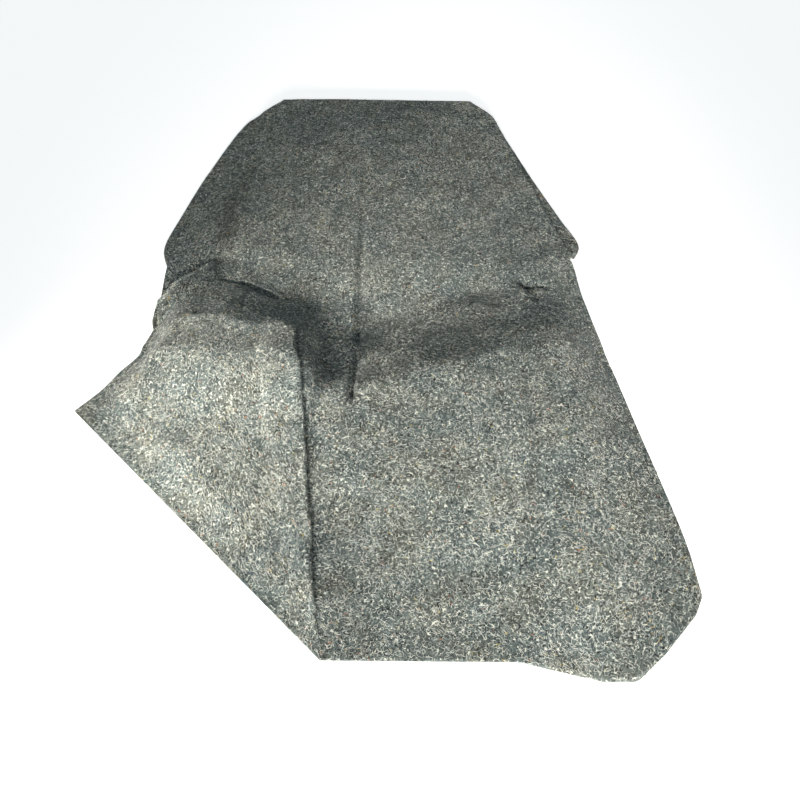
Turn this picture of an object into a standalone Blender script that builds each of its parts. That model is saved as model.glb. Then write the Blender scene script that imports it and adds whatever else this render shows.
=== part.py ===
"""Moving blanket: one cut panel of needled felt, laid out on a flat surface in soft, uneven folds.

Metres, +Z up, the underside on Z = 0. The front hem is at -Y and the far end is turned under at +Y.
The panel is a grid of rows (hem to far end) and columns (left to right). Its plan comes from the
SECTIONS and UNDER_SECTIONS tables, its heights from RIDGES and CREASES, and its layers from the folds.
"""

from collections import namedtuple

import bpy
import numpy as np

# The cloth is cut 1.37 wide and 1.83 long
CUT_WIDTH = 1.37
THICKNESS = 0.003

# Folds. Pitch is from the middle of one layer to the middle of the next. Depth is how far a Z fold
# reaches to each side of its line, and lead how far from that line the cloth starts to rise.
PLEAT_PITCH = 0.008
PLEAT_DEPTH = 0.026
PLEAT_LEAD = 0.075
DART_DEPTH = 0.022
DART_LEAD = 0.060
DART_END_PAST_TUCK = 0.010
DART_GROWTH = 1.4
DART_LEAD_SECTIONS = (0.05, 0.75)
BENDS_FORM_AT = 0.25
BACK_DROP = 0.1
FOLD_STEPS = (0, 3, 5, 8, 9, 12, 15)
STRIP_PITCH = 0.005
LEAST_STRIP = 0.006
STRIP_CLEAR = 0.012
TURNED_AT = 0.05
LEAST_TURN = 0.01
FAR_ROLL_RADIUS = 0.0115

# How far in from the sides and the two ends the ridges reach their full height
EDGE_FALL = 0.075
HEM_FALL = 0.095

# Mesh columns and rows
STRIP_COLUMNS = 3
BEND_COLUMNS = 4
SIDE_COLUMNS = STRIP_COLUMNS + BEND_COLUMNS
LEFT_COLUMNS = 8
PLEAT_COLUMNS = 16
RIGHT_COLUMNS = 9
COLUMNS = 2 * SIDE_COLUMNS + LEFT_COLUMNS + PLEAT_COLUMNS + RIGHT_COLUMNS
DART_ROWS = 16
FAR_ROLL_ROWS = 6

# Each section runs across the panel through four named places (x, y). Rows are the mesh rows from it
# to the next one. Pleat share (0 to 1) is how far the standing pleat is folded there, strip how far
# the side strips are turned under, and lift the height of the layer over what lies below it.
Section = namedtuple("Section", "name rows left tuck pleat right pleat_share strip lift")
SECTIONS = (
    Section("hem", 3, (-0.521, -0.257), (-0.365, -0.408), (-0.054, -0.708), (0.521, -0.610), 0, 0, 0),
    Section("skirt", 3, (-0.500, -0.232), (-0.350, -0.340), (-0.073, -0.600), (0.516, -0.520), 0.22, 0, 0),
    Section("shin", 2, (-0.480, -0.205), (-0.335, -0.270), (-0.100, -0.480), (0.500, -0.415), 0.7, 0, 0),
    Section("knee", 2, (-0.458, -0.165), (-0.325, -0.190), (-0.122, -0.360), (0.481, -0.305), 1, 0, 0),
    Section("brow", 2, (-0.433, -0.128), (-0.318, -0.102), (-0.134, -0.245), (0.462, -0.190), 1, 0, 0),
    Section("crest", 3, (-0.428, -0.100), (-0.316, -0.047), (-0.140, -0.180), (0.452, -0.135), 0.7, 0, 0),
    Section("seat", 3, (-0.424, -0.073), (-0.315, 0.010), (-0.126, -0.100), (0.444, -0.080), 0, 0, 0.002),
    Section("dart", 2, (-0.420, -0.030), (-0.314, 0.122), (-0.124, 0.010), (0.427, 0.010), 0, 0, 0.010),
    Section("arm", 3, (-0.413, 0.095), (-0.309, 0.190), (-0.120, 0.125), (0.415, 0.105), 0, 0, 0.022),
    Section("turn", 2, (-0.407, 0.145), (-0.303, 0.220), (-0.120, 0.175), (0.408, 0.145), 0, 0.05, 0.021),
    Section("low", 2, (-0.374, 0.285), (-0.285, 0.310), (-0.118, 0.300), (0.376, 0.285), 0, 1, 0.018),
    Section("back", 2, (-0.335, 0.445), (-0.255, 0.450), (-0.112, 0.450), (0.341, 0.435), 0, 1, 0.016),
    Section("high", 2, (-0.298, 0.585), (-0.225, 0.590), (-0.105, 0.590), (0.306, 0.575), 0, 1, 0.019),
    Section("neck", 2, (-0.277, 0.650), (-0.205, 0.660), (-0.100, 0.665), (0.285, 0.640), 0, 1, 0.022),
    Section("far", 0, (-0.232, 0.702), (-0.180, 0.704), (-0.095, 0.704), (0.240, 0.694), 0, 1, 0.023),
)
DART_SECTION = 7

# The far end after it is turned under, from the far edge back towards the front
UNDER_SECTIONS = (
    Section("far", 1, (-0.232, 0.702), (-0.180, 0.704), (-0.095, 0.704), (0.240, 0.694), 0, 1, 0),
    Section("neck", 2, (-0.312, 0.635), (-0.215, 0.640), (-0.100, 0.640), (0.300, 0.610), 0, 1, 0),
    Section("back", 1, (-0.380, 0.430), (-0.260, 0.450), (-0.110, 0.460), (0.364, 0.410), 0, 1, 0),
    Section("low", 1, (-0.417, 0.275), (-0.280, 0.330), (-0.115, 0.370), (0.413, 0.262), 0, 1, 0),
    Section("lobe", 2, (-0.436, 0.175), (-0.287, 0.270), (-0.118, 0.320), (0.440, 0.185), 0, 1, 0),
    Section("end hem", 0, (-0.417, 0.110), (-0.290, 0.240), (-0.120, 0.295), (0.427, 0.145), 0, 1, 0),
)

# The front hem from the pleat to the right corner. The sections bow out to it over HEM_REACH of them.
HEM_RIGHT = (
    (-0.054, -0.708),
    (0.235, -0.711),
    (0.300, -0.727),
    (0.350, -0.739),
    (0.400, -0.739),
    (0.447, -0.700),
    (0.505, -0.640),
    (0.521, -0.610),
)
HEM_REACH = 3.0

# A ridge follows a path of (x, y, height). It falls away over left_reach on the left of that path,
# seen along it, and over right_reach on the right. A straight of 0 falls in a soft curve, and of 1 in
# one even slope. A ridge on the flap ends at the flap's edge, over FLAP_STEP.
Ridge = namedtuple("Ridge", "name on_flap left_reach left_straight right_reach right_straight path")
RIDGES = (
    Ridge(
        name="seat edge",
        on_flap=False,
        left_reach=0.205,
        left_straight=0.85,
        right_reach=0.460,
        right_straight=0.4,
        path=(
            (-0.150, -0.260, 0.046),
            (-0.107, -0.252, 0.052),
            (-0.023, -0.254, 0.060),
            (0.048, -0.230, 0.062),
            (0.125, -0.212, 0.064),
            (0.187, -0.188, 0.064),
            (0.257, -0.160, 0.062),
            (0.338, -0.144, 0.050),
            (0.388, -0.132, 0.036),
        ),
    ),
    Ridge(
        name="left arm",
        on_flap=True,
        left_reach=0.150,
        left_straight=0.8,
        right_reach=0.260,
        right_straight=0.0,
        path=(
            (-0.420, -0.082, 0.030),
            (-0.332, -0.070, 0.054),
            (-0.283, -0.074, 0.062),
            (-0.220, -0.104, 0.068),
            (-0.161, -0.124, 0.071),
            (-0.060, -0.146, 0.072),
        ),
    ),
    Ridge(
        name="flap",
        on_flap=True,
        left_reach=0.110,
        left_straight=0.0,
        right_reach=0.175,
        right_straight=0.2,
        path=(
            (-0.410, -0.145, 0.036),
            (-0.330, -0.165, 0.058),
            (-0.220, -0.195, 0.066),
            (-0.060, -0.220, 0.060),
        ),
    ),
    Ridge(
        name="right arm",
        on_flap=False,
        left_reach=0.095,
        left_straight=0.0,
        right_reach=0.170,
        right_straight=0.0,
        path=(
            (0.355, 0.000, 0.012),
            (0.345, -0.100, 0.036),
            (0.352, -0.330, 0.034),
            (0.350, -0.540, 0.022),
            (0.364, -0.680, 0.006),
        ),
    ),
    Ridge(
        name="back crown",
        on_flap=False,
        left_reach=0.270,
        left_straight=0.0,
        right_reach=0.270,
        right_straight=0.0,
        path=(
            (0.000, 0.000, 0.008),
            (0.000, 0.070, 0.011),
            (0.000, 0.140, 0.010),
            (0.000, 0.300, 0.016),
            (0.000, 0.500, 0.022),
            (0.000, 0.640, 0.014),
        ),
    ),
)
RIDGE_BLEND = 2.6
FLAP_EDGE = (
    (-0.120, 0.000, 0),
    (-0.115, -0.143, 0),
    (-0.104, -0.241, 0),
    (-0.096, -0.380, 0),
    (-0.074, -0.565, 0),
)
FLAP_STEP = 0.045

# A crease is a soft trough along a path of (x, y, depth)
Crease = namedtuple("Crease", "name width path")
CREASES = (
    Crease("centre line", 0.032, ((-0.016, 0.380, 0.001), (-0.017, 0.160, 0.008), (-0.018, -0.100, 0.008))),
    Crease("seat tuck", 0.032, ((-0.017, -0.108, 0.005), (-0.022, -0.262, 0.012), (-0.025, -0.300, 0.002))),
    Crease("right line", 0.036, ((0.284, -0.150, 0.008), (0.287, -0.350, 0.013), (0.262, -0.560, 0.010))),
    Crease("left hollow", 0.045, ((-0.283, 0.416, 0.010), (-0.304, 0.330, 0.016), (-0.310, 0.180, 0.016))),
    Crease("pleat foot", 0.060, ((-0.040, -0.480, 0.008), (-0.020, -0.640, 0.006))),
)

# Moves the plan so that the middle of its box is on the origin
CENTRE_SHIFT_Y = 0.011


def smooth(value):
    """Eases from 0 to 1 as the value does."""
    value = np.clip(value, 0.0, 1.0)
    return value * value * (3.0 - 2.0 * value)


def through(points, at):
    """A smooth curve through the points, read at `at`, which counts them from 0."""
    points = np.asarray(points, float)
    last = len(points) - 1
    low = np.clip(np.floor(at).astype(int), 0, last - 1)
    t = (at - low)[..., None]
    before = points[np.maximum(low - 1, 0)]
    start = points[low]
    end = points[low + 1]
    after = points[np.minimum(low + 2, last)]
    return 0.5 * (
        2.0 * start
        + (end - before) * t
        + (2.0 * before - 5.0 * start + 4.0 * end - after) * t**2
        + (3.0 * start - 3.0 * end + after - before) * t**3
    )


def eased(values, at):
    """Numbers that ease from each section's value to the next one's."""
    values = np.asarray(values, float)
    low = np.clip(np.floor(at).astype(int), 0, len(values) - 2)
    return values[low] + (values[low + 1] - values[low]) * smooth(at - low)[..., None]


def near_path(path, x, y):
    """For each point, the height at the nearest place on the path, its distance, and which side it
    lies on, from 1 at the left of the path to -1 at its right."""
    least = np.full(x.shape, np.inf)
    height = np.zeros(x.shape)
    side = np.zeros(x.shape)
    for (x0, y0, h0), (x1, y1, h1) in zip(path, path[1:]):
        dx = x1 - x0
        dy = y1 - y0
        along = np.clip(((x - x0) * dx + (y - y0) * dy) / (dx * dx + dy * dy), 0.0, 1.0)
        away = np.hypot(x - x0 - along * dx, y - y0 - along * dy)
        to_left = (dx * (y - y0) - dy * (x - x0)) / np.hypot(dx, dy)
        nearer = away < least
        least = np.where(nearer, away, least)
        height = np.where(nearer, h0 + (h1 - h0) * along, height)
        side = np.where(nearer, to_left / np.maximum(away, 1e-9), side)
    return height, least, side


def relief(x, y):
    """Height of the soft ridges and creases over the plan."""
    total = np.zeros(x.shape)
    _, away, side = near_path(FLAP_EDGE, x, y)
    on_flap = smooth(1.0 - away * side / FLAP_STEP)
    for ridge in RIDGES:
        height, away, side = near_path(ridge.path, x, y)
        left = (1.0 + side) / 2.0
        reach = ridge.right_reach + (ridge.left_reach - ridge.right_reach) * left
        straight = ridge.right_straight + (ridge.left_straight - ridge.right_straight) * left
        up = np.clip(1.0 - away / reach, 0.0, 1.0)
        height = height * (smooth(up) + (up - smooth(up)) * straight)
        total += (height * on_flap if ridge.on_flap else height) ** RIDGE_BLEND
    total = total ** (1.0 / RIDGE_BLEND)
    for crease in CREASES:
        depth, away, _ = near_path(crease.path, x, y)
        total -= depth * smooth(1.0 - away / crease.width)
    return np.maximum(total, 0.0)


def turned_edge(width, share):
    """Distance in from the fold and drop of a side strip's columns, from its cut edge inwards.

    The edge bends round by half a turn as the share goes to 1, over an arc of constant length. Last
    comes how far the first column past the bend is from the outermost place.
    """
    arc = np.pi * STRIP_PITCH / 2.0
    turn = np.pi * np.clip(share, LEAST_TURN, 1.0)
    radius = arc / turn
    in_bend = 1.0 - np.arange(BEND_COLUMNS) / BEND_COLUMNS
    in_strip = np.maximum(width, LEAST_STRIP) * (1.0 - np.arange(STRIP_COLUMNS) / STRIP_COLUMNS)
    strip_out = radius * np.sin(turn) + in_strip * np.cos(turn)
    strip_drop = radius * (1.0 - np.cos(turn)) + in_strip * np.sin(turn)
    outward = np.concatenate([strip_out, radius * np.sin(turn * in_bend)], -1)
    drop = np.concatenate([strip_drop, radius * (1.0 - np.cos(turn * in_bend))], -1)
    extent = outward.max(axis=-1, keepdims=True)
    return extent - outward, drop, extent


def standing_fold(count, full_depth, lead, share):
    """Distance across a Z fold and its lift, from the upper side to the lower one.

    As the share grows from 0, the two bends form first and the layers between them then lengthen.
    """
    radius = PLEAT_PITCH / 2.0
    arc = np.pi * radius
    folded = np.minimum(share / BENDS_FORM_AT, 1.0)
    grown = np.maximum(share - BENDS_FORM_AT, 0.0) / (1.0 - BENDS_FORM_AT)
    depth = radius + (full_depth - radius) * grown
    t = np.linspace(0.0, FOLD_STEPS[-1], count)
    ramp, over, first, back, second, leave = (
        np.clip((t - a) / (b - a), 0.0, 1.0) for a, b in zip(FOLD_STEPS, FOLD_STEPS[1:])
    )
    turned = (
        -lead
        + (lead - depth - radius) * ramp
        + 2.0 * depth * over
        + radius * np.sin(np.pi * first)
        - 2.0 * (depth - radius) * back
        - radius * np.sin(np.pi * second)
        + (lead + depth - radius) * leave
    )
    round_bends = (2.0 - np.cos(np.pi * first) - np.cos(np.pi * second)) / 2.0
    fall = (1.0 - BACK_DROP) * round_bends + 2.0 * BACK_DROP * back
    lift = PLEAT_PITCH * (2.0 * smooth(ramp) - fall)
    inner = radius / 4.0
    level = np.interp(t, FOLD_STEPS, (-lead, -lead / 2.0, -arc, -inner, inner, arc, lead))
    return level + (turned - level) * folded, lift * folded


def lay_rows(sections, at):
    """Plan of the rows at `at`, their columns' lift and the layer's own, how far each point is from
    the sides, which columns show, and how far along the pleat's right side each lies."""
    left, tuck, pleat, right = (
        through([getattr(section, place) for section in sections], at)
        for place in ("left", "tuck", "pleat", "right")
    )
    shares = eased([(section.pleat_share, section.strip, section.lift) for section in sections], at)
    pleat_share, strip, layer = (shares[..., i] for i in range(3))
    to_tuck = np.linalg.norm(tuck - left, axis=-1)
    to_pleat = np.linalg.norm(pleat - tuck, axis=-1)
    to_right = np.linalg.norm(right - pleat, axis=-1)
    pleat_at = to_tuck + to_pleat
    across = pleat_at + to_right

    ends = np.cumsum([0, SIDE_COLUMNS, LEFT_COLUMNS, PLEAT_COLUMNS, RIGHT_COLUMNS, SIDE_COLUMNS])
    left_side, left_part, pleat_part, right_part, right_side = (slice(a, b) for a, b in zip(ends, ends[1:]))
    turned = strip / TURNED_AT
    width = np.minimum((CUT_WIDTH - across) / 2.0, across / 2.0 - STRIP_CLEAR)
    width = width * np.clip((strip - TURNED_AT) / (1.0 - TURNED_AT), 0.0, 1.0)
    away = np.zeros(across.shape)
    lift = np.zeros(across.shape)

    inward, drop, left_inner = turned_edge(width[:, :1], turned[:, :1])
    away[:, left_side] = inward
    lift[:, left_side] = -drop
    inward, drop, right_inner = turned_edge(width[:, -1:], turned[:, -1:])
    away[:, right_side] = across[:, right_side] - inward[:, ::-1]
    lift[:, right_side] = -drop[:, ::-1]
    layer = np.maximum(layer, -lift.min(axis=-1, keepdims=True))

    share = np.arange(LEFT_COLUMNS) / LEFT_COLUMNS
    away[:, left_part] = left_inner + (pleat_at[:, left_part] - PLEAT_LEAD - left_inner) * share
    over, upper = standing_fold(PLEAT_COLUMNS, PLEAT_DEPTH, PLEAT_LEAD, pleat_share[:, pleat_part])
    away[:, pleat_part] = pleat_at[:, pleat_part] + over
    lift[:, pleat_part] = upper
    share = 1.0 - np.arange(1, RIGHT_COLUMNS + 1) / RIGHT_COLUMNS
    away[:, right_part] = across[:, right_part] - right_inner
    away[:, right_part] -= (to_right[:, right_part] - PLEAT_LEAD - right_inner) * share

    in_first = np.clip(away / to_tuck, 0.0, 1.0)
    in_second = np.clip((away - to_tuck) / to_pleat, 0.0, 1.0)
    in_third = np.clip((away - pleat_at) / to_right, 0.0, 1.0)
    plan = left + (tuck - left) * in_first[..., None]
    plan += (pleat - tuck) * in_second[..., None]
    plan += (right - pleat) * in_third[..., None]
    shown = np.ones(across.shape)
    shown[:, left_side] = 0.0
    shown[:, right_side] = 0.0
    return plan, lift, layer, np.minimum(away, across - away), shown, in_third


def hem_bow(in_third, at):
    """How far the right of the front hem bows out past the straight line between its ends."""
    hem = np.asarray(HEM_RIGHT)
    steps = np.linalg.norm(np.diff(hem, axis=0), axis=1)
    along = np.concatenate([[0.0], np.cumsum(steps)]) / steps.sum()
    bow = np.stack([np.interp(in_third, along, hem[:, i]) for i in range(2)], -1)
    bow -= hem[0] + (hem[-1] - hem[0]) * in_third[..., None]
    return bow * (np.clip(1.0 - at / HEM_REACH, 0.0, 1.0) ** 2)[..., None]


def row_places(sections):
    """Where rows lie between the sections, counting sections from 0."""
    places = []
    for index, section in enumerate(sections[:-1]):
        places.extend(index + step / section.rows for step in range(section.rows))
    return np.array(places + [len(sections) - 1.0])[:, None]


def dart_rows():
    """Places and lifts of all top rows, with the dart's rows folded over each other at the left."""
    last = len(SECTIONS) - 1.0
    places = row_places(SECTIONS)
    before = places[places[:, 0] < DART_SECTION]
    after = places[places[:, 0] > DART_SECTION]
    ahead, middle, behind = (
        lay_rows(SECTIONS, np.full((1, COLUMNS), DART_SECTION + step))[0] for step in (0.5, 0.0, -0.5)
    )
    lead = np.clip(DART_LEAD / np.linalg.norm(ahead - behind, axis=-1), *DART_LEAD_SECTIONS)
    dart = SECTIONS[DART_SECTION]
    from_end = dart.tuck[0] + DART_END_PAST_TUCK - middle[..., 0]
    share = smooth(DART_GROWTH * from_end / (dart.tuck[0] - dart.left[0]))
    across, lift = standing_fold(DART_ROWS, DART_DEPTH, DART_LEAD, share.T)
    before_dart = before * (DART_SECTION - lead) / DART_SECTION
    in_dart = DART_SECTION + across.T / DART_LEAD * lead
    after_dart = last - (last - after) * (last - DART_SECTION - lead) / (last - DART_SECTION)
    lifts = np.concatenate([0.0 * before_dart, lift.T, 0.0 * after_dart])
    return np.concatenate([before_dart, in_dart, after_dart]), lifts


def top_rows():
    """Middle surface from the front hem to the far edge, and the lift of the last row's columns."""
    at, dart_lift = dart_rows()
    plan, lift, layer, from_side, shown, in_third = lay_rows(SECTIONS, at)
    plan += hem_bow(in_third, at)
    steps = np.linalg.norm(np.diff(plan, axis=0), axis=-1)
    from_hem = np.concatenate([np.zeros((1, COLUMNS)), np.cumsum(steps, axis=0)])
    from_far = np.linalg.norm(plan - plan[-1:], axis=-1)
    free = shown * smooth(from_side / EDGE_FALL) * smooth(from_hem / HEM_FALL) * smooth(from_far / HEM_FALL)
    height = THICKNESS / 2.0 + layer + lift + dart_lift + free * relief(plan[..., 0], plan[..., 1])
    return np.concatenate([plan, height[..., None]], -1), lift[-1]


def far_roll(edge, lift):
    """The soft roll at the far edge, whose turned strips lie inside it."""
    angles = np.pi * np.arange(1, FAR_ROLL_ROWS)[:, None] / FAR_ROLL_ROWS
    radius = FAR_ROLL_RADIUS + lift
    rows = np.repeat(edge[None], FAR_ROLL_ROWS - 1, axis=0)
    rows[..., 1] += radius * np.sin(angles)
    rows[..., 2] = THICKNESS / 2.0 + FAR_ROLL_RADIUS + radius * np.cos(angles)
    return rows


def under_rows():
    """Middle surface of the turned-under end, lying flat."""
    at = np.repeat(row_places(UNDER_SECTIONS), COLUMNS, axis=1)
    plan, lift, *_ = lay_rows(UNDER_SECTIONS, at)
    return np.concatenate([plan, (THICKNESS / 2.0 - lift)[..., None]], -1)


def blanket():
    """The whole panel as one closed solid."""
    top, last_lift = top_rows()
    points = np.concatenate([top, far_roll(top[-1], last_lift), under_rows()])
    points[..., 1] += CENTRE_SHIFT_Y
    rows = len(points)
    corner = np.arange(rows * COLUMNS).reshape(rows, COLUMNS)
    faces = np.stack([corner[:-1, :-1], corner[:-1, 1:], corner[1:, 1:], corner[1:, :-1]], -1)
    mesh = bpy.data.meshes.new("blanket")
    mesh.from_pydata(points.reshape(-1, 3).tolist(), [], faces.reshape(-1, 4).tolist())
    mesh.shade_smooth()
    panel = bpy.data.objects.new("blanket", mesh)
    bpy.context.scene.collection.objects.link(panel)
    wall = panel.modifiers.new("Cloth thickness", "SOLIDIFY")
    wall.thickness = THICKNESS
    wall.offset = 0.0
    return panel


def felt():
    """Needled felt of grey recycled fibres: matt and rough."""
    material = bpy.data.materials.new("needled_felt")
    material.use_nodes = True
    shader = material.node_tree.nodes["Principled BSDF"]
    shader.inputs["Base Color"].default_value = (0.17, 0.18, 0.165, 1.0)
    shader.inputs["Roughness"].default_value = 0.95
    shader.inputs["Metallic"].default_value = 0.0
    return material


for thing in list(bpy.data.objects):
    bpy.data.objects.remove(thing, do_unlink=True)
blanket().data.materials.append(felt())
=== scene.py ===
from collections import namedtuple

import bmesh
import bpy
import numpy as np
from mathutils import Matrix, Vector, noise
from mathutils.bvhtree import BVHTree


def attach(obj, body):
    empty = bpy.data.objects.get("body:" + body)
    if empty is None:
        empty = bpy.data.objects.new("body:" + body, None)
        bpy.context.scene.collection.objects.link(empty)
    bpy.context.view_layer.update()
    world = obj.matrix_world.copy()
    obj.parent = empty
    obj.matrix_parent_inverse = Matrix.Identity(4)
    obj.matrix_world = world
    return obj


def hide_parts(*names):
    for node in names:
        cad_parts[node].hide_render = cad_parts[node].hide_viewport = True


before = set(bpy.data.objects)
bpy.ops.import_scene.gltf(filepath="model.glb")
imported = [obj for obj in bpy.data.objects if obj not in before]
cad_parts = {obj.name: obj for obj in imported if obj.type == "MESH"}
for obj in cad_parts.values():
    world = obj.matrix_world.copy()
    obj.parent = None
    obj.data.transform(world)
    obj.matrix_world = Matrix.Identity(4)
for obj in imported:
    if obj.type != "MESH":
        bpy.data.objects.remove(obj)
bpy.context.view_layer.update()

CUT_WIDTH = 1.37
THICKNESS = 0.003

# Folds. Pitch is from the middle of one layer to the middle of the next. Depth is how far a Z fold
# reaches to each side of its line, and lead how far from that line the cloth starts to rise.
PLEAT_PITCH = 0.008
PLEAT_DEPTH = 0.026
PLEAT_LEAD = 0.075
DART_DEPTH = 0.022
DART_LEAD = 0.060
DART_END_PAST_TUCK = 0.010
DART_GROWTH = 1.4
DART_LEAD_SECTIONS = (0.05, 0.75)
BENDS_FORM_AT = 0.25
BACK_DROP = 0.1
FOLD_STEPS = (0, 3, 5, 8, 9, 12, 15)
STRIP_PITCH = 0.005
LEAST_STRIP = 0.006
STRIP_CLEAR = 0.012
TURNED_AT = 0.05
LEAST_TURN = 0.01
FAR_ROLL_RADIUS = 0.0115
EDGE_FALL = 0.075
HEM_FALL = 0.095

# Columns of each part across the panel, and rows of the folded parts along it. A crowding above 1
# sets the right part's columns closer together near the pleat.
STRIP_COLUMNS = 5
BEND_COLUMNS = 9
SIDE_COLUMNS = STRIP_COLUMNS + BEND_COLUMNS
LEFT_COLUMNS = 42
PLEAT_COLUMNS = 46
RIGHT_COLUMNS = 66
RIGHT_CROWDING = 1.25
COLUMNS = 2 * SIDE_COLUMNS + LEFT_COLUMNS + PLEAT_COLUMNS + RIGHT_COLUMNS
DART_ROWS = 46
FAR_ROLL_ROWS = 14

# Each section runs across the panel through four named places (x, y). Rows are the mesh rows from it
# to the next one. Pleat share (0 to 1) is how far the standing pleat is folded there, strip how far
# the side strips are turned under, and lift the height of the layer over what lies below it.
Section = namedtuple("Section", "name rows left tuck pleat right pleat_share strip lift")
SECTIONS = (
    Section("hem", 16, (-0.521, -0.257), (-0.365, -0.408), (-0.054, -0.708), (0.521, -0.610), 0, 0, 0),
    Section("skirt", 16, (-0.500, -0.232), (-0.350, -0.340), (-0.073, -0.600), (0.516, -0.520), 0.22, 0, 0),
    Section("shin", 16, (-0.480, -0.205), (-0.335, -0.270), (-0.100, -0.480), (0.500, -0.415), 0.7, 0, 0),
    Section("knee", 16, (-0.458, -0.165), (-0.325, -0.190), (-0.122, -0.360), (0.481, -0.305), 1, 0, 0),
    Section("brow", 8, (-0.433, -0.128), (-0.318, -0.102), (-0.134, -0.245), (0.462, -0.190), 1, 0, 0),
    Section("crest", 10, (-0.428, -0.100), (-0.316, -0.047), (-0.140, -0.180), (0.452, -0.135), 0.7, 0, 0),
    Section("seat", 14, (-0.419, -0.073), (-0.315, 0.010), (-0.126, -0.100), (0.444, -0.080), 0, 0, 0.002),
    Section("dart", 14, (-0.413, -0.030), (-0.314, 0.122), (-0.124, 0.010), (0.427, 0.010), 0, 0, 0.010),
    Section("arm", 8, (-0.413, 0.095), (-0.309, 0.190), (-0.120, 0.125), (0.415, 0.105), 0, 0, 0.022),
    Section("turn", 14, (-0.407, 0.145), (-0.303, 0.220), (-0.120, 0.175), (0.408, 0.145), 0, 0.05, 0.021),
    Section("low", 14, (-0.374, 0.285), (-0.285, 0.310), (-0.118, 0.300), (0.376, 0.285), 0, 1, 0.018),
    Section("back", 14, (-0.335, 0.445), (-0.255, 0.450), (-0.112, 0.450), (0.341, 0.435), 0, 1, 0.016),
    Section("high", 8, (-0.298, 0.585), (-0.225, 0.590), (-0.105, 0.590), (0.306, 0.575), 0, 1, 0.019),
    Section("neck", 8, (-0.277, 0.650), (-0.205, 0.660), (-0.100, 0.665), (0.285, 0.640), 0, 1, 0.022),
    Section("far", 0, (-0.232, 0.702), (-0.180, 0.704), (-0.095, 0.704), (0.240, 0.694), 0, 1, 0.023),
)
DART_SECTION = 7

# The far end after it is turned under, from the far edge back towards the front
UNDER_SECTIONS = (
    Section("far", 3, (-0.232, 0.702), (-0.180, 0.704), (-0.095, 0.704), (0.240, 0.694), 0, 1, 0),
    Section("neck", 7, (-0.312, 0.635), (-0.215, 0.640), (-0.100, 0.640), (0.300, 0.610), 0, 1, 0),
    Section("back", 6, (-0.380, 0.430), (-0.260, 0.450), (-0.110, 0.460), (0.364, 0.410), 0, 1, 0),
    Section("low", 4, (-0.417, 0.275), (-0.280, 0.330), (-0.115, 0.370), (0.413, 0.262), 0, 1, 0),
    Section("lobe", 5, (-0.436, 0.175), (-0.287, 0.270), (-0.118, 0.320), (0.440, 0.185), 0, 1, 0),
    Section("end hem", 0, (-0.417, 0.110), (-0.290, 0.240), (-0.120, 0.295), (0.427, 0.145), 0, 1, 0),
)

# The front hem from the pleat to the right corner. The sections bow out to it over HEM_REACH of them.
HEM_RIGHT = (
    (-0.054, -0.708),
    (0.235, -0.711),
    (0.300, -0.727),
    (0.350, -0.739),
    (0.400, -0.739),
    (0.447, -0.700),
    (0.505, -0.640),
    (0.521, -0.610),
)
HEM_REACH = 3.0

# A ridge follows a path of (x, y, height). It falls away over left_reach on the left of that path,
# seen along it, and over right_reach on the right. A straight of 0 falls in a soft curve, and of 1 in
# one even slope. A ridge on the flap ends at the flap's edge, over FLAP_STEP.
Ridge = namedtuple("Ridge", "name on_flap left_reach left_straight right_reach right_straight path")
RIDGES = (
    Ridge(
        name="seat edge",
        on_flap=False,
        left_reach=0.205,
        left_straight=0.85,
        right_reach=0.460,
        right_straight=0.4,
        path=(
            (-0.150, -0.260, 0.046),
            (-0.107, -0.252, 0.052),
            (-0.023, -0.254, 0.060),
            (0.048, -0.230, 0.062),
            (0.125, -0.212, 0.064),
            (0.187, -0.188, 0.064),
            (0.257, -0.160, 0.062),
            (0.338, -0.144, 0.050),
            (0.388, -0.132, 0.036),
        ),
    ),
    Ridge(
        name="left arm",
        on_flap=True,
        left_reach=0.150,
        left_straight=0.8,
        right_reach=0.260,
        right_straight=0.0,
        path=(
            (-0.420, -0.082, 0.030),
            (-0.332, -0.070, 0.054),
            (-0.283, -0.074, 0.062),
            (-0.220, -0.104, 0.068),
            (-0.161, -0.124, 0.071),
            (-0.060, -0.146, 0.072),
        ),
    ),
    Ridge(
        name="flap",
        on_flap=True,
        left_reach=0.110,
        left_straight=0.0,
        right_reach=0.175,
        right_straight=0.2,
        path=(
            (-0.410, -0.145, 0.036),
            (-0.330, -0.165, 0.058),
            (-0.220, -0.195, 0.066),
            (-0.060, -0.220, 0.060),
        ),
    ),
    Ridge(
        name="right arm",
        on_flap=False,
        left_reach=0.095,
        left_straight=0.0,
        right_reach=0.170,
        right_straight=0.0,
        path=(
            (0.355, 0.000, 0.012),
            (0.345, -0.100, 0.036),
            (0.352, -0.330, 0.034),
            (0.350, -0.540, 0.022),
            (0.364, -0.680, 0.006),
        ),
    ),
    Ridge(
        name="back crown",
        on_flap=False,
        left_reach=0.270,
        left_straight=0.0,
        right_reach=0.270,
        right_straight=0.0,
        path=(
            (0.000, 0.000, 0.008),
            (0.000, 0.070, 0.011),
            (0.000, 0.140, 0.010),
            (0.000, 0.300, 0.016),
            (0.000, 0.500, 0.022),
            (0.000, 0.640, 0.014),
        ),
    ),
)

# Where ridges overlap, the taller one wins the more, the higher this power is
RIDGE_BLEND = 2.6

# The flap's edge along the pleat, as a path
FLAP_EDGE = (
    (-0.120, 0.000, 0),
    (-0.115, -0.143, 0),
    (-0.104, -0.241, 0),
    (-0.096, -0.380, 0),
    (-0.074, -0.565, 0),
)
FLAP_STEP = 0.045

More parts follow.
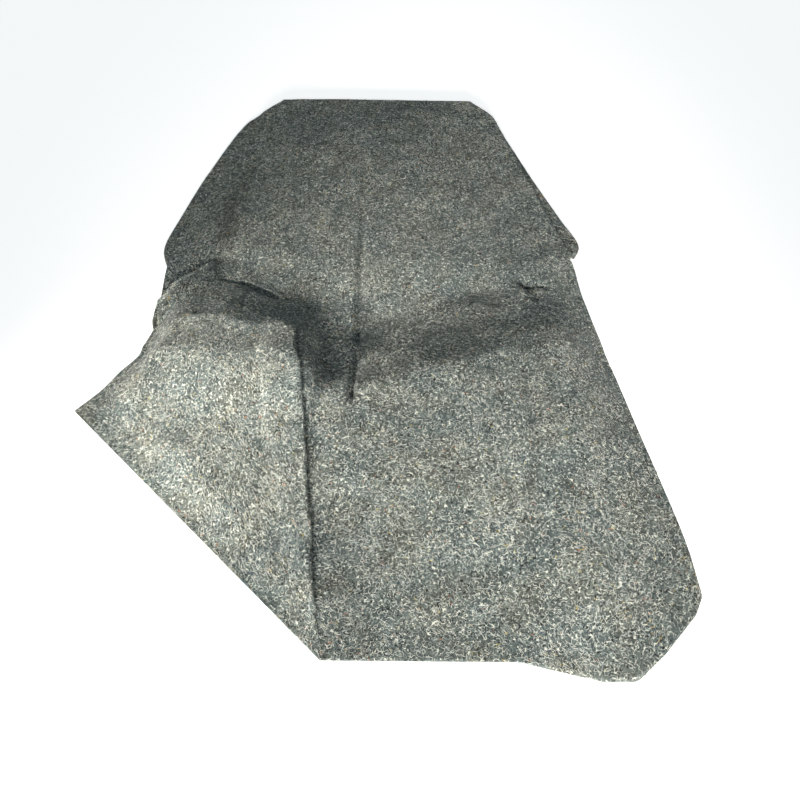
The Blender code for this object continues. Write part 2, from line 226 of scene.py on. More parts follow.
# A crease is a soft trough along a path of (x, y, depth)
Crease = namedtuple("Crease", "name width path")
CREASES = (
    Crease("centre line", 0.013, ((-0.016, 0.460, 0.001), (-0.017, 0.160, 0.006), (-0.018, -0.100, 0.009))),
    Crease("sharp tuck", 0.011, ((-0.017, -0.108, 0.005), (-0.018, -0.173, 0.009), (-0.022, -0.262, 0.014))),
    Crease("under the tuck", 0.014, ((-0.023, -0.260, 0.006), (-0.025, -0.290, 0.001))),
    Crease("dark corner", 0.022, ((-0.326, 0.098, 0.010), (-0.300, 0.090, 0.008), (-0.280, 0.070, 0.002))),
    Crease(
        "behind the arm",
        0.016,
        ((-0.290, 0.070, 0.002), (-0.245, 0.050, 0.008), (-0.182, 0.004, 0.006)),
    ),
    Crease("right line", 0.016, ((0.284, -0.150, 0.004), (0.287, -0.350, 0.007), (0.262, -0.560, 0.003))),
    Crease("left hollow", 0.034, ((-0.283, 0.416, 0.010), (-0.304, 0.330, 0.016), (-0.310, 0.180, 0.016))),
    Crease("pleat foot", 0.060, ((-0.040, -0.480, 0.008), (-0.020, -0.640, 0.006))),
    Crease("star, long arm", 0.013, ((0.290, 0.066, 0.004), (0.311, 0.044, 0.014), (0.362, 0.034, 0.004))),
    Crease("star, short arm", 0.012, ((0.311, 0.044, 0.010), (0.330, 0.000, 0.003))),
    Crease(
        "arm wrinkle",
        0.012,
        ((-0.365, -0.046, 0.001), (-0.325, -0.056, 0.006), (-0.286, -0.059, 0.001)),
    ),
)

# A crease this deep gets the full painted shade: the felt's colour is darkened there, where shade would fall
FULL_PAINTED_SHADE_DEPTH = 0.015
CREASE_PAINTED_SHADE = 0.42

# The dart's folded edge is painted pale between these shares of its rows, a painted highlight, and the felt
# just behind it is darkened, a painted shadow. Every fourth point of the edge is enough to measure from.
EDGE_ROWS = (0.30, 0.42)
EDGE_COLUMNS = SIDE_COLUMNS + LEFT_COLUMNS // 2
EDGE_COLUMN_STEP = 4
EDGE_PAINTED_HIGHLIGHT = 1.7
EDGE_PAINTED_SHADOW = 0.6
EDGE_PAINTED_SHADOW_WIDTH = 0.030

# The cloth's own unevenness: soft dents, as lattice noise of a size and a height in metres
Dents = namedtuple("Dents", "size height")
DENTS = (Dents(0.140, 0.0045), Dents(0.055, 0.0018), Dents(0.022, 0.0007))

# Puts the middle of the laid-out outline at the origin
CENTRE_SHIFT_Y = 0.011


def smooth(value):
    """Eases from 0 to 1 as the value does."""
    value = np.clip(value, 0.0, 1.0)
    return value * value * (3.0 - 2.0 * value)


def through(points, at):
    """A smooth curve through the points, read at `at`, which counts them from 0."""
    points = np.asarray(points, float)
    last = len(points) - 1
    low = np.clip(np.floor(at).astype(int), 0, last - 1)
    t = (at - low)[..., None]
    before = points[np.maximum(low - 1, 0)]
    start = points[low]
    end = points[low + 1]
    after = points[np.minimum(low + 2, last)]
    return 0.5 * (
        2.0 * start
        + (end - before) * t
        + (2.0 * before - 5.0 * start + 4.0 * end - after) * t**2
        + (3.0 * start - 3.0 * end + after - before) * t**3
    )


def eased(values, at):
    """Numbers that ease from each section's value to the next one's."""
    values = np.asarray(values, float)
    low = np.clip(np.floor(at).astype(int), 0, len(values) - 2)
    return values[low] + (values[low + 1] - values[low]) * smooth(at - low)[..., None]


def near_path(path, x, y):
    """For each point, the height at the nearest place on the path, its distance, and which side it
    lies on, from 1 at the left of the path to -1 at its right."""
    least = np.full(x.shape, np.inf)
    height = np.zeros(x.shape)
    side = np.zeros(x.shape)
    for (x0, y0, h0), (x1, y1, h1) in zip(path, path[1:]):
        dx = x1 - x0
        dy = y1 - y0
        along = np.clip(((x - x0) * dx + (y - y0) * dy) / (dx * dx + dy * dy), 0.0, 1.0)
        away = np.hypot(x - x0 - along * dx, y - y0 - along * dy)
        to_left = (dx * (y - y0) - dy * (x - x0)) / np.hypot(dx, dy)
        nearer = away < least
        least = np.where(nearer, away, least)
        height = np.where(nearer, h0 + (h1 - h0) * along, height)
        side = np.where(nearer, to_left / np.maximum(away, 1e-9), side)
    return height, least, side


def dents(x, y):
    """Height of the cloth's own soft unevenness over the plan."""
    total = np.zeros(x.shape)
    for size, height in DENTS:
        values = [noise.noise(Vector((a / size, b / size, size))) for a, b in zip(x.flat, y.flat)]
        total += height * np.reshape(values, x.shape)
    return total


def relief(x, y):
    """Height of the soft ridges, creases and dents over the plan."""
    total = np.zeros(x.shape)
    _, away, side = near_path(FLAP_EDGE, x, y)
    on_flap = smooth(1.0 - away * side / FLAP_STEP)
    for ridge in RIDGES:
        height, away, side = near_path(ridge.path, x, y)
        left = (1.0 + side) / 2.0
        reach = ridge.right_reach + (ridge.left_reach - ridge.right_reach) * left
        straight = ridge.right_straight + (ridge.left_straight - ridge.right_straight) * left
        up = np.clip(1.0 - away / reach, 0.0, 1.0)
        height = height * (smooth(up) + (up - smooth(up)) * straight)
        total += (height * on_flap if ridge.on_flap else height) ** RIDGE_BLEND
    total = total ** (1.0 / RIDGE_BLEND)
    for crease in CREASES:
        depth, away, _ = near_path(crease.path, x, y)
        total -= depth * smooth(1.0 - away / crease.width)
    return np.maximum(total + dents(x, y), 0.0)


def crease_painted_shade(x, y):
    """The share of its colour that the felt keeps: less in a crease, where shade is painted into the colour.
    """
    tone = np.ones(x.shape)
    for crease in CREASES:
        depth, away, _ = near_path(crease.path, x, y)
        dark = CREASE_PAINTED_SHADE * np.clip(depth / FULL_PAINTED_SHADE_DEPTH, 0.0, 1.0)
        tone *= 1.0 - dark * smooth(1.0 - away / crease.width)
    return tone


def dart_painted_light(top):
    """Tone of the top rows at the dart: a painted highlight on the folded edge, and a painted shadow on the
    felt behind it.
    """
    tone = np.ones(top.shape[:2])
    first = int(np.sum(row_places(SECTIONS) < DART_SECTION))
    pale, shadowed = (first + int(share * DART_ROWS) for share in EDGE_ROWS)
    edge = top[shadowed, :EDGE_COLUMNS:EDGE_COLUMN_STEP]
    # Painted highlight along the folded edge, then painted shadow on the felt just behind it
    tone[pale:shadowed, :EDGE_COLUMNS] = EDGE_PAINTED_HIGHLIGHT
    _, away, _ = near_path([tuple(point) for point in edge], top[..., 0], top[..., 1])
    behind = EDGE_PAINTED_SHADOW * smooth(1.0 - away / EDGE_PAINTED_SHADOW_WIDTH)
    tone[shadowed:] -= behind[shadowed:]
    return tone


def turned_edge(width, share):
    """Distance in from the fold and drop of a side strip's columns, from its cut edge inwards.

    The edge bends round by half a turn as the share goes to 1, over an arc of constant length. Last
    comes how far the first column past the bend is from the outermost place.
    """
    arc = np.pi * STRIP_PITCH / 2.0
    turn = np.pi * np.clip(share, LEAST_TURN, 1.0)
    radius = arc / turn
    in_bend = 1.0 - np.arange(BEND_COLUMNS) / BEND_COLUMNS
    in_strip = np.maximum(width, LEAST_STRIP) * (1.0 - np.arange(STRIP_COLUMNS) / STRIP_COLUMNS)
    strip_out = radius * np.sin(turn) + in_strip * np.cos(turn)
    strip_drop = radius * (1.0 - np.cos(turn)) + in_strip * np.sin(turn)
    outward = np.concatenate([strip_out, radius * np.sin(turn * in_bend)], -1)
    drop = np.concatenate([strip_drop, radius * (1.0 - np.cos(turn * in_bend))], -1)
    extent = outward.max(axis=-1, keepdims=True)
    return extent - outward, drop, extent


def standing_fold(count, full_depth, lead, share):
    """Distance across a Z fold and its lift, from the upper side to the lower one.

    As the share grows from 0, the two bends form first and the layers between them then lengthen.
    """
    radius = PLEAT_PITCH / 2.0
    arc = np.pi * radius
    folded = np.minimum(share / BENDS_FORM_AT, 1.0)
    grown = np.maximum(share - BENDS_FORM_AT, 0.0) / (1.0 - BENDS_FORM_AT)
    depth = radius + (full_depth - radius) * grown
    t = np.linspace(0.0, FOLD_STEPS[-1], count)
    ramp, over, first, back, second, leave = (
        np.clip((t - a) / (b - a), 0.0, 1.0) for a, b in zip(FOLD_STEPS, FOLD_STEPS[1:])
    )
    turned = (
        -lead
        + (lead - depth - radius) * ramp
        + 2.0 * depth * over
        + radius * np.sin(np.pi * first)
        - 2.0 * (depth - radius) * back
        - radius * np.sin(np.pi * second)
        + (lead + depth - radius) * leave
    )
    round_bends = (2.0 - np.cos(np.pi * first) - np.cos(np.pi * second)) / 2.0
    fall = (1.0 - BACK_DROP) * round_bends + 2.0 * BACK_DROP * back
    lift = PLEAT_PITCH * (2.0 * smooth(ramp) - fall)
    inner = radius / 4.0
    level = np.interp(t, FOLD_STEPS, (-lead, -lead / 2.0, -arc, -inner, inner, arc, lead))
    return level + (turned - level) * folded, lift * folded


def lay_rows(sections, at):
    """Plan of the rows at `at`, their columns' lift and the layer's own, how far each point is from
    the sides, which columns show, and how far along the pleat's right side each lies."""
    left, tuck, pleat, right = (
        through([getattr(section, place) for section in sections], at)
        for place in ("left", "tuck", "pleat", "right")
    )
    shares = eased([(section.pleat_share, section.strip, section.lift) for section in sections], at)
    pleat_share, strip, layer = (shares[..., i] for i in range(3))
    to_tuck = np.linalg.norm(tuck - left, axis=-1)
    to_pleat = np.linalg.norm(pleat - tuck, axis=-1)
    to_right = np.linalg.norm(right - pleat, axis=-1)
    pleat_at = to_tuck + to_pleat
    across = pleat_at + to_right

    ends = np.cumsum([0, SIDE_COLUMNS, LEFT_COLUMNS, PLEAT_COLUMNS, RIGHT_COLUMNS, SIDE_COLUMNS])
    left_side, left_part, pleat_part, right_part, right_side = (slice(a, b) for a, b in zip(ends, ends[1:]))
    turned = strip / TURNED_AT
    width = np.minimum((CUT_WIDTH - across) / 2.0, across / 2.0 - STRIP_CLEAR)
    width = width * np.clip((strip - TURNED_AT) / (1.0 - TURNED_AT), 0.0, 1.0)
    away = np.zeros(across.shape)
    lift = np.zeros(across.shape)

    inward, drop, left_inner = turned_edge(width[:, :1], turned[:, :1])
    away[:, left_side] = inward
    lift[:, left_side] = -drop
    inward, drop, right_inner = turned_edge(width[:, -1:], turned[:, -1:])
    away[:, right_side] = across[:, right_side] - inward[:, ::-1]
    lift[:, right_side] = -drop[:, ::-1]
    layer = np.maximum(layer, -lift.min(axis=-1, keepdims=True))

    share = np.arange(LEFT_COLUMNS) / LEFT_COLUMNS
    away[:, left_part] = left_inner + (pleat_at[:, left_part] - PLEAT_LEAD - left_inner) * share
    over, upper = standing_fold(PLEAT_COLUMNS, PLEAT_DEPTH, PLEAT_LEAD, pleat_share[:, pleat_part])
    away[:, pleat_part] = pleat_at[:, pleat_part] + over
    lift[:, pleat_part] = upper
    share = 1.0 - (np.arange(1, RIGHT_COLUMNS + 1) / RIGHT_COLUMNS) ** RIGHT_CROWDING
    away[:, right_part] = across[:, right_part] - right_inner
    away[:, right_part] -= (to_right[:, right_part] - PLEAT_LEAD - right_inner) * share

    in_first = np.clip(away / to_tuck, 0.0, 1.0)
    in_second = np.clip((away - to_tuck) / to_pleat, 0.0, 1.0)
    in_third = np.clip((away - pleat_at) / to_right, 0.0, 1.0)
    plan = left + (tuck - left) * in_first[..., None]
    plan += (pleat - tuck) * in_second[..., None]
    plan += (right - pleat) * in_third[..., None]
    shown = np.ones(across.shape)
    shown[:, left_side] = 0.0
    shown[:, right_side] = 0.0
    return plan, lift, layer, np.minimum(away, across - away), shown, in_third


def hem_bow(in_third, at):
    """How far the right of the front hem bows out past the straight line between its ends."""
    hem = np.asarray(HEM_RIGHT)
    steps = np.linalg.norm(np.diff(hem, axis=0), axis=1)
    along = np.concatenate([[0.0], np.cumsum(steps)]) / steps.sum()
    bow = np.stack([np.interp(in_third, along, hem[:, i]) for i in range(2)], -1)
    bow -= hem[0] + (hem[-1] - hem[0]) * in_third[..., None]
    return bow * (np.clip(1.0 - at / HEM_REACH, 0.0, 1.0) ** 2)[..., None]


def row_places(sections):
    """Where rows lie between the sections, counting sections from 0."""
    places = []
    for index, section in enumerate(sections[:-1]):
        places.extend(index + step / section.rows for step in range(section.rows))
    return np.array(places + [len(sections) - 1.0])[:, None]


def dart_rows():
    """Places and lifts of all top rows, with the dart's rows folded over each other at the left."""
    last = len(SECTIONS) - 1.0
    places = row_places(SECTIONS)
    before = places[places[:, 0] < DART_SECTION]
    after = places[places[:, 0] > DART_SECTION]
    ahead, middle, behind = (
        lay_rows(SECTIONS, np.full((1, COLUMNS), DART_SECTION + step))[0] for step in (0.5, 0.0, -0.5)
    )
    lead = np.clip(DART_LEAD / np.linalg.norm(ahead - behind, axis=-1), *DART_LEAD_SECTIONS)
    dart = SECTIONS[DART_SECTION]
    from_end = dart.tuck[0] + DART_END_PAST_TUCK - middle[..., 0]
    share = smooth(DART_GROWTH * from_end / (dart.tuck[0] - dart.left[0]))
    across, lift = standing_fold(DART_ROWS, DART_DEPTH, DART_LEAD, share.T)
    before_dart = before * (DART_SECTION - lead) / DART_SECTION
    in_dart = DART_SECTION + across.T / DART_LEAD * lead
    after_dart = last - (last - after) * (last - DART_SECTION - lead) / (last - DART_SECTION)
    lifts = np.concatenate([0.0 * before_dart, lift.T, 0.0 * after_dart])
    return np.concatenate([before_dart, in_dart, after_dart]), lifts


def top_rows():
    """Middle surface from the front hem to the far edge, and the lift of the last row's columns."""
    at, dart_lift = dart_rows()
    plan, lift, layer, from_side, shown, in_third = lay_rows(SECTIONS, at)
    plan += hem_bow(in_third, at)
    steps = np.linalg.norm(np.diff(plan, axis=0), axis=-1)
    from_hem = np.concatenate([np.zeros((1, COLUMNS)), np.cumsum(steps, axis=0)])
    from_far = np.linalg.norm(plan - plan[-1:], axis=-1)
    free = shown * smooth(from_side / EDGE_FALL) * smooth(from_hem / HEM_FALL) * smooth(from_far / HEM_FALL)
    height = THICKNESS / 2.0 + layer + lift + dart_lift + free * relief(plan[..., 0], plan[..., 1])
    return np.concatenate([plan, height[..., None]], -1), lift[-1]


def far_roll(edge, lift):
    """The soft roll at the far edge, whose turned strips lie inside it."""
    angles = np.pi * np.arange(1, FAR_ROLL_ROWS)[:, None] / FAR_ROLL_ROWS
    radius = FAR_ROLL_RADIUS + lift
    rows = np.repeat(edge[None], FAR_ROLL_ROWS - 1, axis=0)
    rows[..., 1] += radius * np.sin(angles)
    rows[..., 2] = THICKNESS / 2.0 + FAR_ROLL_RADIUS + radius * np.cos(angles)
    return rows


def under_rows():
    """Middle surface of the turned-under end, lying flat."""
    at = np.repeat(row_places(UNDER_SECTIONS), COLUMNS, axis=1)
    plan, lift, *_ = lay_rows(UNDER_SECTIONS, at)
    return np.concatenate([plan, (THICKNESS / 2.0 - lift)[..., None]], -1)


def linear(hex_colour):
    """An sRGB hex colour as linear RGBA."""
    parts = [int(hex_colour[i : i + 2], 16) / 255.0 for i in (1, 3, 5)]
    return [p / 12.92 if p <= 0.04045 else ((p + 0.055) / 1.055) ** 2.4 for p in parts] + [1.0]


def node(tree, kind, settings=(), **links):
    """Adds a node, sets its properties, and links or sets its inputs.

    An input is named with _ for a space, or with i and its number.
    """
    made = tree.nodes.new(kind)
    for name, value in dict(settings).items():
        setattr(made, name, value)
    for name, value in links.items():
        by_number = name[0] == "i" and name[1:].isdigit()
        socket = made.inputs[int(name[1:]) if by_number else name.replace("_", " ")]
        if isinstance(value, bpy.types.NodeSocket):
            tree.links.new(value, socket)
        else:
            socket.default_value = value
    return made


def placed(name, data):
    """Puts a mesh, a lamp or a camera into the scene as an object."""
    made = bpy.data.objects.new(name, data)
    scene.collection.objects.link(made)
    return made


scene = bpy.context.scene
top, last_lift = top_rows()
rows = np.concatenate([top, far_roll(top[-1], last_lift), under_rows()])
rows[..., 1] += CENTRE_SHIFT_Y
# Painted shade in the creases and behind the dart's edge, and a painted highlight on that edge, as a tone of
# the felt's colour
painted_light_tones = np.ones(rows.shape[:2])
painted_light_tones[: len(top)] = crease_painted_shade(top[..., 0], top[..., 1]) * dart_painted_light(top)

grid = bmesh.new()
bmesh.ops.create_grid(grid, x_segments=COLUMNS - 1, y_segments=len(rows) - 1, size=0.5)
panel_mesh = bpy.data.meshes.new("felt_panel")
grid.to_mesh(panel_mesh)
grid.free()
panel_mesh.vertices.foreach_set("co", rows.ravel())
panel_mesh.shade_smooth()
# The painted shade and highlight go to the felt material as a point attribute
panel_mesh.attributes.new("Painted light tone", "FLOAT", "POINT").data.foreach_set("value", painted_light_tones.ravel())
panel = placed("felt_panel", panel_mesh)
wall = panel.modifiers.new("Felt thickness", "SOLIDIFY")
wall.thickness = THICKNESS
wall.offset = 0.0

# Colours of the felt's fibres, as they look in daylight
GROUND_DARK = linear("#252b2a")
GROUND_LIGHT = linear("#6e7775")
PALE_FIBRE = linear("#d6d9ce")
GREY_FIBRE = linear("#8d9794")
BLACK_FIBRE = linear("#161818")
WARM_PATCH = linear("#6d6f62")
COOL_PATCH = linear("#526264")

# Tufts of like fibres, single grains, and patches where rags of one colour prevail, as real sizes in
# millimetres. Real fibres are finer than the grains, which are drawn as coarse as they need to show.
TUFT_MM = 26.0
GRAIN_MM = 2.2
PATCH_MM = 70.0
PATCH_SHARE = 0.35
LUMP_SHARE = 0.8

# Fibres pressed flat into the felt: the size of their curls and their width in millimetres, and how
# many are kept. They are drawn wider than real ones too, so that they show.
PressedFibres = namedtuple("PressedFibres", "seed curl_mm width_mm kept colour")
GREY_PRESSED = PressedFibres(1.3, 5.0, 0.6, 0.07, GREY_FIBRE)
BLACK_PRESSED = PressedFibres(4.7, 4.5, 0.6, 0.05, BLACK_FIBRE)
PALE_PRESSED = PressedFibres(2.9, 5.5, 0.45, 0.05, PALE_FIBRE)
FULL_COLOUR_WITHIN = 0.35
BREAK_SCALE = 0.9
BREAK_SOFTNESS = 0.06


def fibre_lines(tree, coordinates, pressed):
    """Mask of thin curly fibres: the level lines of a noise, broken into lengths by another one."""
    seed = (pressed.seed, pressed.seed, 0.0)
    shifted = node(tree, "ShaderNodeVectorMath", {"operation": "ADD"}, i0=coordinates, i1=seed)
    scale = 1000.0 / pressed.curl_mm
    curls = node(tree, "ShaderNodeTexNoise", Vector=shifted.outputs[0], Scale=scale, Detail=0.0)
    level = node(tree, "ShaderNodeMath", {"operation": "SUBTRACT"}, i0=curls.outputs[0], i1=0.5)
    away = node(tree, "ShaderNodeMath", {"operation": "ABSOLUTE"}, i0=level.outputs[0])
    half = 0.5 * pressed.width_mm / pressed.curl_mm
    line = node(
        tree,
        "ShaderNodeMapRange",
        {"interpolation_type": "SMOOTHSTEP"},
        Value=away.outputs[0],
        From_Min=half,
        From_Max=FULL_COLOUR_WITHIN * half,
    )
    breaks = node(
        tree,
        "ShaderNodeTexNoise",
        Vector=shifted.outputs[0],
        Scale=BREAK_SCALE * scale,
        Detail=0.0,
    )
    kept = node(
        tree,
        "ShaderNodeMapRange",
        {"interpolation_type": "SMOOTHSTEP"},
        Value=breaks.outputs[0],
        From_Min=0.5 - pressed.kept,
        From_Max=0.5 + BREAK_SOFTNESS - pressed.kept,
    )
    return node(tree, "ShaderNodeMath", {"operation": "MULTIPLY"}, i0=line.outputs[0], i1=kept.outputs[0])


def needled_felt():
    """Needled felt of shredded textiles: fibres of many greys, pressed into a matt, rough sheet."""
    material = bpy.data.materials.new("needled_felt")
    material.use_nodes = True
    tree = material.node_tree
    shader = tree.nodes["Principled BSDF"]
    place = node(tree, "ShaderNodeTexCoord").outputs["Object"]
    tufts = node(tree, "ShaderNodeTexNoise", Vector=place, Scale=1000.0 / TUFT_MM, Detail=3.0)
    grains = node(tree, "ShaderNodeTexNoise", Vector=place, Scale=1000.0 / GRAIN_MM, Detail=2.0)
    patches = node(tree, "ShaderNodeTexNoise", Vector=place, Scale=1000.0 / PATCH_MM, Detail=2.0)
    both = node(tree, "ShaderNodeMath", {"operation": "ADD"}, i0=tufts.outputs[0], i1=grains.outputs[0])
    light = node(tree, "ShaderNodeMapRange", Value=both.outputs[0], From_Min=0.75, From_Max=1.25)
    warm = node(tree, "ShaderNodeMapRange", Value=patches.outputs[0], From_Min=0.38, From_Max=0.62)

    colours = {"data_type": "RGBA"}
    ground = node(tree, "ShaderNodeMix", colours, i0=light.outputs[0], i6=GROUND_DARK, i7=GROUND_LIGHT)
    tint = node(tree, "ShaderNodeMix", colours, i0=warm.outputs[0], i6=COOL_PATCH, i7=WARM_PATCH)
    felt = node(tree, "ShaderNodeMix", colours, i0=PATCH_SHARE, i6=ground.outputs[2], i7=tint.outputs[2])
    masks = []
    for pressed in (GREY_PRESSED, BLACK_PRESSED, PALE_PRESSED):
        mask = fibre_lines(tree, place, pressed).outputs[0]
        felt = node(tree, "ShaderNodeMix", colours, i0=mask, i6=felt.outputs[2], i7=pressed.colour)
        masks.append(mask)

    grey, _, pale = masks
    raised = node(tree, "ShaderNodeMath", {"operation": "MAXIMUM"}, i0=grey, i1=pale)
    lumps = node(tree, "ShaderNodeMath", {"operation": "MULTIPLY"}, i0=grains.outputs[0], i1=LUMP_SHARE)
    height = node(tree, "ShaderNodeMath", {"operation": "ADD"}, i0=raised.outputs[0], i1=lumps.outputs[0])
    bump = node(tree, "ShaderNodeBump", Strength=0.5, Distance=0.0008, Height=height.outputs[0])
    # The felt's colour is scaled by the painted shade and highlight
    tone = node(tree, "ShaderNodeAttribute", {"attribute_name": "Painted light tone"}).outputs["Fac"]
    toned = node(tree, "ShaderNodeVectorMath", {"operation": "SCALE"}, i0=felt.outputs[2], Scale=tone)
    tree.links.new(toned.outputs[0], shader.inputs["Base Color"])
    tree.links.new(bump.outputs[0], shader.inputs["Normal"])
    shader.inputs["Roughness"].default_value = 0.95
    shader.inputs["Specular IOR Level"].default_value = 0.2
    shader.inputs["Sheen Weight"].default_value = 0.15
    shader.inputs["Sheen Roughness"].default_value = 0.5
    return material


panel_mesh.materials.append(needled_felt())
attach(panel, "root")
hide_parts("blanket")

# Loose fibres. The felt's surface is a tangle of curly fibres, pale ones showing most, with some dark
# and a few coloured ones from old clothes. Each is a thin closed strand that follows the cloth.
STRAND_SIDES = 3
STRAND_STEPS = 4
STRAND_FLATNESS = 0.45
STRAND_SHADES = (0.75, 1.05)

# A strand starts where the felt faces up or nearly so and no other layer lies close over it. Its ends
# may pass the rim of the grid by this share of a cell.
LEAST_FACING = -0.15
HIDDEN_WITHIN = 0.030
RAY_START = 0.0035
OVERHANG = 0.6
LEAST_CELL = 0.0012

# Loose fibres stand up in clumps: the mean share of them that does, and how far it swings
CLUMP_SIZE = 0.055
CLUMP_MEAN = 0.62
CLUMP_SWING = 1.7
LEAST_SHARE = 0.2

# Where the felt is stretched smooth over a fold, fewer loose fibres stand up: width and path of (x, y,
# share of the fibres that lie flat)
SMOOTH_BANDS = (
    (0.075, ((-0.079, -0.106, 0.6), (0.100, -0.106, 0.7), (0.214, -0.085, 0.6), (0.331, -0.054, 0.3))),
    (0.050, ((-0.099, -0.165, 0.6), (-0.038, -0.175, 0.6))),
    (0.045, ((-0.277, -0.004, 0.3), (-0.156, -0.057, 0.5))),
    (0.170, ((-0.150, 0.090, 0.85), (0.250, 0.080, 0.85))),
    (0.060, ((0.145, 0.200, 0.5), (0.200, 0.005, 0.7))),
)

# Lengths, widths and heights over the felt are in metres, curl in radians along a strand
FibreKind = namedtuple("FibreKind", "name count seed length width lift curl colours")
FIBRES = (
    FibreKind(
        name="pale_fibres",
        count=10900,
        seed=11,
        length=(0.005, 0.015),
        width=(0.00045, 0.0008),
        lift=(0.0002, 0.0016),
        curl=2.4,
        colours=(("#f3f5ec", 5), ("#e2e5da", 5), ("#cbd3ce", 3), ("#e9e2bd", 1)),
    ),
    FibreKind(
        name="cream_fibres",
        count=10900,
        seed=12,
        length=(0.004, 0.010),
        width=(0.00045, 0.0008),
        lift=(0.0002, 0.0012),
        curl=2.8,
        colours=(("#dadccd", 5), ("#c6cac0", 5), ("#f4f5ee", 3)),
    ),
    FibreKind(
        name="grey_fibres",
        count=10900,
        seed=13,
        length=(0.004, 0.010),
        width=(0.00045, 0.0008),
        lift=(0.0002, 0.0012),
        curl=2.6,
        colours=(("#aab0ac", 5), ("#8fa0a3", 3), ("#7f8fa0", 2), ("#9c9e90", 3)),
    ),
    FibreKind(
        name="dark_and_coloured_fibres",
        count=9000,
        seed=14,
        length=(0.003, 0.010),
        width=(0.0005, 0.0009),
        lift=(0.0002, 0.0012),
        curl=2.4,
        colours=(
            ("#141616", 66),
            ("#26303a", 18),
            ("#e0c452", 4),
            ("#d08050", 4),
            ("#c98f86", 3),
            ("#3f6f74", 4),
        ),
    ),
)


def strand_template():
    """A three-sided strand along Z from -2 to 2, pointed at both ends, of radius 1."""
    strand = bmesh.new()
    bmesh.ops.create_cone(strand, cap_ends=True, segments=STRAND_SIDES, radius1=1.0, radius2=1.0, depth=2.0)
    caps = [face for face in strand.faces if abs(face.normal.z) > 0.9]
    for tip in bmesh.ops.poke(strand, faces=caps)["verts"]:
        tip.co.z *= 2.0
    whole = strand.verts[:] + strand.edges[:] + strand.faces[:]
    bmesh.ops.bisect_plane(strand, geom=whole, plane_co=(0.0, 0.0, 0.0), plane_no=(0.0, 0.0, 1.0))
    bmesh.ops.triangulate(strand, faces=strand.faces[:])
    strand.verts.index_update()
    points = np.array([tuple(v.co) for v in strand.verts])
    corners = np.array([[v.index for v in face.verts] for face in strand.faces])
    strand.free()
    return points, corners


def surface_normals(points):
    """Normals of a grid of points, pointing to the side that faces up where the cloth lies flat."""
    along_rows = np.gradient(points, axis=0)
    along_columns = np.gradient(points, axis=1)
    normals = np.cross(along_columns, along_rows)
    return normals / np.linalg.norm(normals, axis=-1, keepdims=True)


def read_grid(values, row, column):
    """Values of the grid at fractional rows and columns, carried on straight past its rim."""
    low_row = np.clip(np.floor(row).astype(int), 0, values.shape[0] - 2)
    low_column = np.clip(np.floor(column).astype(int), 0, values.shape[1] - 2)
    t = (row - low_row)[..., None]
    s = (column - low_column)[..., None]
    near = values[low_row, low_column] * (1.0 - s) + values[low_row, low_column + 1] * s
    far = values[low_row + 1, low_column] * (1.0 - s) + values[low_row + 1, low_column + 1] * s
    return near * (1.0 - t) + far * t


def standing_share(places):
    """The share of loose fibres that stand up: more in clumps, fewer on smooth bands."""
    clumps = np.array([noise.noise(Vector(place) / CLUMP_SIZE) for place in places])
    share = np.maximum(CLUMP_MEAN + CLUMP_SWING * clumps, LEAST_SHARE)
    for width, path in SMOOTH_BANDS:
        flat, away, _ = near_path(path, places[:, 0], places[:, 1] - CENTRE_SHIFT_Y)
        share *= 1.0 - flat * smooth(1.0 - away / width)
    return share


def visible_places(rng, count, normals, cover):
    """Rows and columns of random places on the cloth that nothing lies on, denser in clumps, and the
    widths and lengths of the grid's cells."""
    width = np.linalg.norm(np.diff(rows, axis=1), axis=-1)[:-1]
    length = np.linalg.norm(np.diff(rows, axis=0), axis=-1)[:, :-1]
    area = (width * length).ravel()
    found_rows = []
    found_columns = []
    while sum(map(len, found_rows)) < count:
        cell = rng.choice(area.size, size=count, p=area / area.sum())
        row = cell // (COLUMNS - 1) + rng.random(count)
        column = cell % (COLUMNS - 1) + rng.random(count)
        place = read_grid(rows, row, column)
        normal = read_grid(normals, row, column)
        stands = (normal[:, 2] > LEAST_FACING) & (rng.random(count) < standing_share(place))
        open_above = np.array(
            [
                up and cover.ray_cast(p + n * RAY_START, n, HIDDEN_WITHIN)[0] is None
                for p, n, up in zip(place, normal, stands)
            ]
        )
        found_rows.append(row[open_above])
        found_columns.append(column[open_above])
    return np.concatenate(found_rows)[:count], np.concatenate(found_columns)[:count], width, length


